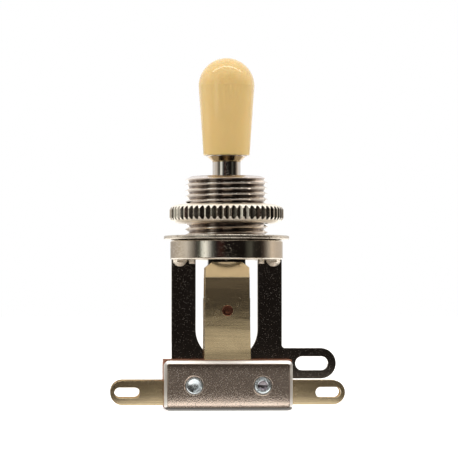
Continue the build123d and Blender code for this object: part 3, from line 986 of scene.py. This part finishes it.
def bow_face(plate, side, foot, top, face_y):
    """Cuts the outer face across and sets the cuts back, most at its foot."""
    bend = foot + PLATE_FALL
    cuts = [foot + PLATE_FALL * step / FALL_CUTS for step in range(FALL_CUTS)]
    cuts += [bend + (top - bend) * step / BOW_CUTS for step in range(BOW_CUTS + 1)]
    for height in cuts[1:-1]:
        cut_across(height)
    bpy.ops.mesh.select_mode(type="VERT")
    for height in cuts:
        pick_vertices(plate, lambda co: abs(co.z - height) < 0.02 and abs(co.y - face_y) < 0.02)
        drop = PLATE_BOW * (2 * (height - foot) / (top - foot) - 1) ** 2
        left_to_fall = max(0, 1 - (height - foot) / PLATE_FALL)
        drop += PLATE_FALL_SLOPE * PLATE_FALL / PLATE_FALL_POWER * left_to_fall ** PLATE_FALL_POWER
        bpy.ops.transform.translate(value=(0, -side * drop * MM, 0))
    leave_edit()


def drill_holes(plate, side, inner, face_y, middle_z):
    hole_r = SCREW_R + HOLE_GAP
    mouth_r = SCREW_R + HOLE_CHAMFER
    outline = [
        (0, inner - side),
        (hole_r, inner - side),
        (hole_r, face_y - side * HOLE_CHAMFER),
        (mouth_r, face_y + side * HOLE_GAP),
        (mouth_r, face_y + side),
        (0, face_y + side),
    ]
    for x in (-SCREW_X, SCREW_X):
        cut_with(plate, turned("hole", outline, steps=48, centre=(x, 0, middle_z), axis="Y"))


def make_clamp_plate(name, node, side):
    """Side is -1 where the outer face looks to the front, and 1 where it looks to the rear."""
    low, high = (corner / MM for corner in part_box(node))
    inner, face_y = (low.y, high.y) if side > 0 else (high.y, low.y)
    shoulder = face_y - side * PLATE_ROLL
    middle_z = (low.z + high.z) / 2
    size = (high.x - low.x, abs(shoulder - inner), high.z - low.z)
    plate = add_block((0, (inner + shoulder) / 2, middle_z), size)
    name_piece(plate, name)
    round_corners(plate)
    roll_edges(plate, side)
    bow_face(plate, side, low.z + PLATE_RIM, high.z - PLATE_RIM, face_y)
    drill_holes(plate, side, inner, face_y, middle_z)
    smooth(plate, 12)
    finish_with(plate, "tumbled clamp plate")
    # The rolled border gets the lighter copy of the finish: painted highlight, with painted shade at its
    # foot.
    plate.data.materials.append(MATERIALS["tumbled clamp plate, painted light border"])
    for face in plate.data.polygons:
        place = face.center / MM
        past_edge = max(abs(place.x) - high.x, low.z - place.z, place.z - high.z)
        if past_edge > -PLATE_BORDER and abs(face.normal.y) > 0.3:
            face.material_index = 1
    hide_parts(node)
    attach(plate, "switch_frame")


BURR_R = 1.40
BURR_THICKNESS = 0.085
BURR_DEPTH = 0.135
BURR_SIDES = 10


def make_hole_burr(name, x, lean_x, lean_z):
    """A ring of pushed-up metal round a hole, tilted so that only one side stands out of the plate."""
    outline = []
    for step in range(BURR_SIDES + 1):
        angle = 2 * math.pi * step / BURR_SIDES
        outline.append((BURR_R + BURR_THICKNESS * math.cos(angle), BURR_THICKNESS * math.sin(angle)))
    burr = turned(name, outline, steps=64, degrees=60)
    low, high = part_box("clamp_plate_front")
    burr.location = (x * MM, low.y + BURR_DEPTH * MM, (low.z + high.z) / 2)
    burr.rotation_euler = (math.radians(90 + lean_x), 0, math.radians(lean_z))
    bpy.ops.object.transform_apply(location=True, rotation=True, scale=True)
    finish_with(burr, "tumbled clamp plate")
    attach(burr, "switch_frame")


# Clamp screws: slotted round heads at the rear, threaded ends in the front plate

END_THREAD_PITCH = 0.45
END_THREAD_DEPTH = 0.17
END_THREAD_START = 0.30
END_THREAD_LENGTH = 4.0
HEAD_HEIGHT = 1.6
HEAD_DOME = 0.75
HEAD_DOME_RISE = 0.62
SLOT = (0.7, 1.6, 6.0)
NICK_WIDTH = 0.22
NICK_TURN = 45
CUP_REACH = 1.2


def screw_outline(end_y, head_y, head_r, end_outline):
    """Radius and place along the screw, from its end over the thread to the top of the head."""
    outline = [(radius, end_y + depth) for radius, depth in end_outline]
    turn = end_y + END_THREAD_START
    while turn < end_y + END_THREAD_LENGTH:
        outline += [(SCREW_R, turn), (SCREW_R - END_THREAD_DEPTH, turn + 0.2), (SCREW_R, turn + 0.4)]
        turn += END_THREAD_PITCH
    under_head = head_y - HEAD_HEIGHT
    outline += [(SCREW_R - 0.03, under_head), (head_r, under_head), (head_r, head_y - HEAD_DOME)]
    for angle in (0.3, 0.6, 0.9, 1.2):
        radius = head_r - HEAD_DOME + HEAD_DOME * math.cos(angle)
        outline.append((radius, head_y - HEAD_DOME + HEAD_DOME_RISE * math.sin(angle)))
    return outline + [(head_r - 0.9, head_y - 0.05), (0.6, head_y), (0, head_y)]


def make_clamp_screw(name, node, end_outline, slot_turn, nicks, cup_r=0.0):
    """Each nick gives its place from the screw's axis, its length and its turn."""
    low, high = (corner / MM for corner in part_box(node))
    x = (low.x + high.x) / 2
    z = (low.z + high.z) / 2
    outline = screw_outline(low.y, high.y, (high.x - low.x) / 2, end_outline)
    screw = turned(name, outline, steps=64, centre=(x, 0, z), axis="Y", degrees=40)
    cut_with(screw, add_block((x, high.y, z), SLOT, turn=(0, slot_turn, 0)))
    for nick_x, nick_z, length, turn in nicks:
        size = (length, NICK_WIDTH, NICK_WIDTH)
        cut_with(screw, add_block((x + nick_x, low.y, z + nick_z), size, turn=(NICK_TURN, turn, 0)))
    smooth(screw, 40)
    finish_with(screw, "zinc plated screw")
    # The cup in the screw's end gets the dark second material: painted shade.
    screw.data.materials.append(MATERIALS["screw cup, painted shade"])
    for face in screw.data.polygons:
        off_axis = math.hypot(face.center.x / MM - x, face.center.z / MM - z)
        if off_axis < cup_r and face.center.y < (low.y + CUP_REACH) * MM:
            face.material_index = 1
    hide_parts(node)
    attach(screw, "switch_frame")


# The outer leaves' rivets: radius, and how far in from the contact face or from the tail's end

RIVET_HEAD = [(0, 0), (0.95, 0), (1.12, 0.04), (1.2, 0.14), (1.2, 0.5), (0.8, 0.5)]
RIVET_TAIL = [
    (0.8, 0.16),
    (0.79, 0.09),
    (0.74, 0.03),
    (0.66, 0),
    (0.58, 0.01),
    (0.50, 0.05),
    (0.30, 0.07),
    (0, 0.075),
]


def make_rivet(name, node, side):
    """The contact head is inside the leaf, and the upset tail outside it, on the given side."""
    low, high = (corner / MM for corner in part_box(node))
    z = (low.z + high.z) / 2
    head, tail = (low.y, high.y) if side > 0 else (high.y, low.y)
    outline = [(radius, head + side * depth) for radius, depth in RIVET_HEAD]
    outline += [(radius, tail - side * depth) for radius, depth in RIVET_TAIL]
    rivet = turned(name, outline, steps=48, centre=(0, 0, z), axis="Y", degrees=50)
    finish_with(rivet, "copper rivet")
    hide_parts(node)
    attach(rivet, "switch_frame")


make_clamp_plate("front_clamp_plate", "clamp_plate_front", -1)
make_clamp_plate("rear_clamp_plate", "clamp_plate_rear", 1)
make_hole_burr("left_hole_burr", -SCREW_X, 3.0, 4.0)
make_hole_burr("right_hole_burr", SCREW_X, -4.2, 1.5)
FLAT_END = [(0, 0.24), (0.38, 0.22), (0.55, 0.17), (0.90, 0.03), (1.03, 0.0), (1.15, 0.05), (SCREW_R, 0.20)]
CUPPED_END = [
    (0, 0.40),
    (0.22, 0.38),
    (0.42, 0.29),
    (0.60, 0.13),
    (0.72, 0.02),
    (0.80, 0.0),
    (1.03, 0.0),
    (1.15, 0.06),
    (SCREW_R, 0.20),
]
left_nicks = [(0.42, -0.55, 1.3, -38), (0.78, -0.28, 0.8, 68)]
right_nicks = [(0.0, 0.93, 1.1, 28), (-0.50, -0.52, 1.0, -42)]
make_clamp_screw("left_clamp_screw", "clamp_screw_left", FLAT_END, 34, left_nicks)
make_clamp_screw("right_clamp_screw", "clamp_screw_right", CUPPED_END, -58, right_nicks, cup_r=0.70)
make_rivet("front_leaf_rivet", "outer_contact_front", -1)
make_rivet("rear_leaf_rivet", "outer_contact_rear", 1)
make_bushing()
make_thread()
make_outer_leaf("contact_leaf_front", "outer_leaf_front")
make_outer_leaf("contact_leaf_rear", "outer_leaf_rear")


# Stage: floor, cards that only gloss shows, lamps and camera

FLOOR_Z = cad_box[0][2]
FLOOR_SIZE = 6
FLOOR_LIFT = 0.64


def seen_directly(tree):
    """Where the white ground shows as it is: to the camera, in gloss and through glass."""
    path = tree.nodes.new("ShaderNodeLightPath").outputs
    seen = arithmetic(tree, "ADD", path["Is Camera Ray"], path["Is Glossy Ray"])
    return arithmetic(tree, "ADD", seen, path["Is Transmission Ray"], clamp=True)


def make_floor():
    deselect()
    bpy.ops.mesh.primitive_plane_add(size=FLOOR_SIZE, location=(0, 0, FLOOR_Z))
    floor = bpy.context.object
    floor.name = "floor"
    material = bpy.data.materials.new("white paper")
    material.use_nodes = True
    tree = material.node_tree
    tree.nodes.clear()
    place = tree.nodes.new("ShaderNodeTexCoord").outputs["Object"]
    tone = blend_colours(tree, noise(tree, place, 30.0), (0.82, 0.81, 0.79, 1), (0.80, 0.79, 0.77, 1))
    paper = add_node(tree, "ShaderNodeBsdfDiffuse", {"Color": tone}).outputs[0]
    lift = add_node(tree, "ShaderNodeEmission", {"Color": (1, 1, 1, 1), "Strength": FLOOR_LIFT}).outputs[0]
    lifted = add_node(tree, "ShaderNodeAddShader", {0: paper, 1: lift}).outputs[0]
    shown = add_node(tree, "ShaderNodeMixShader", {0: seen_directly(tree), 1: paper, 2: lifted}).outputs[0]
    output = tree.nodes.new("ShaderNodeOutputMaterial")
    tree.links.new(shown, output.inputs[0])
    floor.data.materials.append(material)


def seen_only_in_gloss(card):
    card.visible_camera = False
    card.visible_diffuse = False
    card.visible_shadow = False
    card.visible_transmission = False


def make_card(name, start, end, first_edge, last_edge):
    """A curved card between two directions, in degrees from the front, and two edges, each a radius and a
    height. It is seen only in gloss."""
    turn = math.radians(start)
    points = []
    for radius, height in (first_edge, last_edge):
        points.append(Vector((math.sin(turn) * radius, -math.cos(turn) * radius, height)) / MM)
    card = draw_outline(name, points)
    bpy.ops.mesh.select_all(action="SELECT")
    steps = max(4, round(abs(end - start) / 5))
    bpy.ops.mesh.spin(steps=steps, angle=math.radians(start - end), center=(0, 0, 0), axis=(0, 0, 1))
    leave_edit()
    seen_only_in_gloss(card)
    return card


def glow_by_direction(card, bands):
    """Makes the card glow unevenly: bands give a direction, in degrees from the front, and a colour."""
    material = bpy.data.materials.new(card.name)
    material.use_nodes = True
    tree = material.node_tree
    tree.nodes.clear()
    place = tree.nodes.new("ShaderNodeTexCoord").outputs["Object"]
    axes = add_node(tree, "ShaderNodeSeparateXYZ", {0: place}).outputs
    forward = arithmetic(tree, "MULTIPLY", axes[1], -1.0)
    direction = arithmetic(tree, "ARCTAN2", axes[0], forward)
    first, last = bands[0][0], bands[-1][0]
    factor = remap(tree, direction, math.radians(first), math.radians(last))
    ramp = add_node(tree, "ShaderNodeValToRGB", {0: factor})
    stops = ramp.color_ramp.elements
    while len(stops) < len(bands):
        stops.new(0.5)
    for stop, (degrees, colour) in zip(stops, bands):
        stop.position = (degrees - first) / (last - first)
        stop.color = (*colour, 1)
    light = add_node(tree, "ShaderNodeEmission", {"Color": ramp.outputs[0], "Strength": 1.0}).outputs[0]
    output = tree.nodes.new("ShaderNodeOutputMaterial")
    tree.links.new(light, output.inputs[0])
    card.data.materials.append(material)


def make_flat_card(name, place, size, colour):
    deselect()
    bpy.ops.mesh.primitive_plane_add(size=MM, location=Vector(place) * MM)
    card = bpy.context.object
    card.name = name
    card.scale = (size[0], size[1], 1.0)
    bpy.ops.object.transform_apply(location=True, rotation=True, scale=True)
    seen_only_in_gloss(card)
    glow_by_direction(card, [(-180, colour), (180, colour)])


def make_lamp(name, place, size, glow, tint):
    """A soft rectangular lamp aimed at the object; glow is how bright its face is. Gloss shows only cards."""
    deselect()
    bpy.ops.object.light_add(type="AREA", location=place)
    lamp = bpy.context.object
    lamp.name = name
    lamp.data.shape = "RECTANGLE"
    lamp.data.size, lamp.data.size_y = size
    lamp.data.energy = glow * math.pi * size[0] * size[1]
    lamp.data.color = tint
    lamp.rotation_euler = (-Vector(place)).to_track_quat("-Z", "Y").to_euler()
    lamp.visible_camera = False
    lamp.visible_glossy = False


def make_world():
    world = bpy.data.worlds.new("studio")
    bpy.context.scene.world = world
    world.use_nodes = True
    tree = world.node_tree
    tree.nodes.clear()
    white = {"Color": (1, 1, 1, 1), "Strength": 1.0}
    room = {"Color": (1.0, 0.99, 0.97, 1), "Strength": 0.55}
    shown, lit = (add_node(tree, "ShaderNodeBackground", inputs).outputs[0] for inputs in (white, room))
    both = add_node(tree, "ShaderNodeMixShader", {0: seen_directly(tree), 1: lit, 2: shown}).outputs[0]
    output = tree.nodes.new("ShaderNodeOutputWorld")
    tree.links.new(both, output.inputs[0])


make_floor()
WHITE = (0.95, 0.93, 0.88)
GREY = (0.20, 0.17, 0.14)
DARK = (0.030, 0.024, 0.020)
BLACK = (0.012, 0.010, 0.009)
ROOM_BANDS = [
    (-180, (0.70, 0.66, 0.60)),
    (-158, (0.50, 0.46, 0.41)),
    (-136, (0.56, 0.50, 0.43)),
    (-110, (0.76, 0.70, 0.60)),
    (-92, (0.85, 0.82, 0.76)),
    (-83, (0.52, 0.50, 0.46)),
    (-75, (0.30, 0.28, 0.25)),
    (-67, (0.085, 0.080, 0.075)),
    (-59, (0.13, 0.14, 0.12)),
    (-53, (0.95, 1.0, 0.95)),
    (-46, (1.35, 1.4, 1.35)),
    (-40, (0.80, 0.82, 0.80)),
    (-32, (0.16, 0.17, 0.16)),
    (-24, (0.030, 0.026, 0.026)),
    (-14, (0.050, 0.022, 0.018)),
    (-4, BLACK),
    (34, BLACK),
    (42, (0.075, 0.076, 0.064)),
    (49, (0.105, 0.106, 0.090)),
    (55, (0.030, 0.028, 0.024)),
    (70, (0.022, 0.018, 0.015)),
    (78, (0.070, 0.055, 0.045)),
    (86, (0.26, 0.23, 0.20)),
    (95, (0.62, 0.57, 0.50)),
    (104, (0.93, 0.80, 0.66)),
    (120, (0.76, 0.67, 0.57)),
    (145, (0.70, 0.62, 0.54)),
    (180, (0.70, 0.66, 0.60)),
]
NEAR_GREY = (0.23, 0.21, 0.19)
NEAR_BANDS = [(-104, WHITE), (-80, GREY), (-40, NEAR_GREY), (45, NEAR_GREY), (80, GREY), (100, WHITE)]
FOOT_GREY = (0.07, 0.06, 0.05)
FOOT_BANDS = [(-104, WHITE), (-80, GREY), (-40, FOOT_GREY), (45, FOOT_GREY), (80, GREY), (100, WHITE)]
FLOOR_BANDS = [(-104, WHITE), (-80, GREY), (-40, DARK), (0, BLACK), (45, DARK), (80, GREY), (100, WHITE)]
HIGH_BANDS = [(-44, WHITE), (-28, DARK), (0, BLACK), (36, DARK), (54, WHITE)]
WINDOW = (0.84, 0.81, 0.74)
WINDOW_BANDS = [(-16, DARK), (-11, WINDOW), (11, WINDOW), (16, DARK)]
glow_by_direction(make_card("front_card", -106, 104, (0.70, FLOOR_Z), (0.70, 0.26)), ROOM_BANDS)
glow_by_direction(make_card("back_card", 104, 254, (0.70, FLOOR_Z), (0.70, 0.03)), ROOM_BANDS)
glow_by_direction(make_card("high_front_card", -44, 54, (0.70, 0.26), (0.70, 0.74)), HIGH_BANDS)
glow_by_direction(make_card("window_card", -16, 16, (0.68, 0.068), (0.68, 0.165)), WINDOW_BANDS)
floor_card_z = FLOOR_Z + 0.0005
for name, inner, outer, bands in (
    ("foot_floor_card", 0.020, 0.055, FOOT_BANDS),
    ("near_floor_card", 0.055, 0.14, NEAR_BANDS),
    ("far_floor_card", 0.14, 0.70, FLOOR_BANDS),
):
    glow_by_direction(make_card(name, -104, 100, (inner, floor_card_z), (outer, floor_card_z)), bands)
# Painted shadow: a dark card under the plates' footprint, seen only in gloss, stands for the floor shaded
# under the object.
make_flat_card("under_card", (0, 0, FLOOR_Z / MM + 0.3), (18.6, 14.2), (0.15, 0.14, 0.125))
make_flat_card("strip_card", (60, -50, 530), (1130, 62), (6.5, 6.4, 6.1))
make_lamp("overhead_softbox", (0.0, -0.05, 0.55), (0.5, 0.5), 2.8, (1.0, 0.98, 0.94))
make_lamp("left_softbox", (-0.41, -0.438, 0.12), (0.245, 0.5), 0.6, (0.97, 1.0, 0.95))
make_lamp("left_side_softbox", (-0.57, 0.13, 0.12), (0.35, 0.5), 1.7, (1.0, 1.0, 0.97))
make_lamp("right_side_softbox", (0.57, 0.13, 0.12), (0.35, 0.5), 1.9, (1.0, 0.99, 0.95))
make_world()

scene = bpy.context.scene
scene.view_settings.view_transform = "Standard"

EYE_DISTANCE = 0.400
EYE_HEIGHT = -0.0093
EYE_YAW = math.radians(2.6)
AIM = Vector((0.00036, 0.0, 0.0017))
LENS = 217.5
camera_data = bpy.data.cameras.new("photograph")
camera = bpy.data.objects.new("photograph", camera_data)
scene.collection.objects.link(camera)
camera.location = (-EYE_DISTANCE * math.sin(EYE_YAW), -EYE_DISTANCE * math.cos(EYE_YAW), EYE_HEIGHT)
camera.rotation_euler = (AIM - camera.location).to_track_quat("-Z", "Y").to_euler()
camera_data.sensor_width = 36
camera_data.lens = LENS
camera_data.clip_start = 0.01
camera_data.clip_end = 20
scene.camera = camera
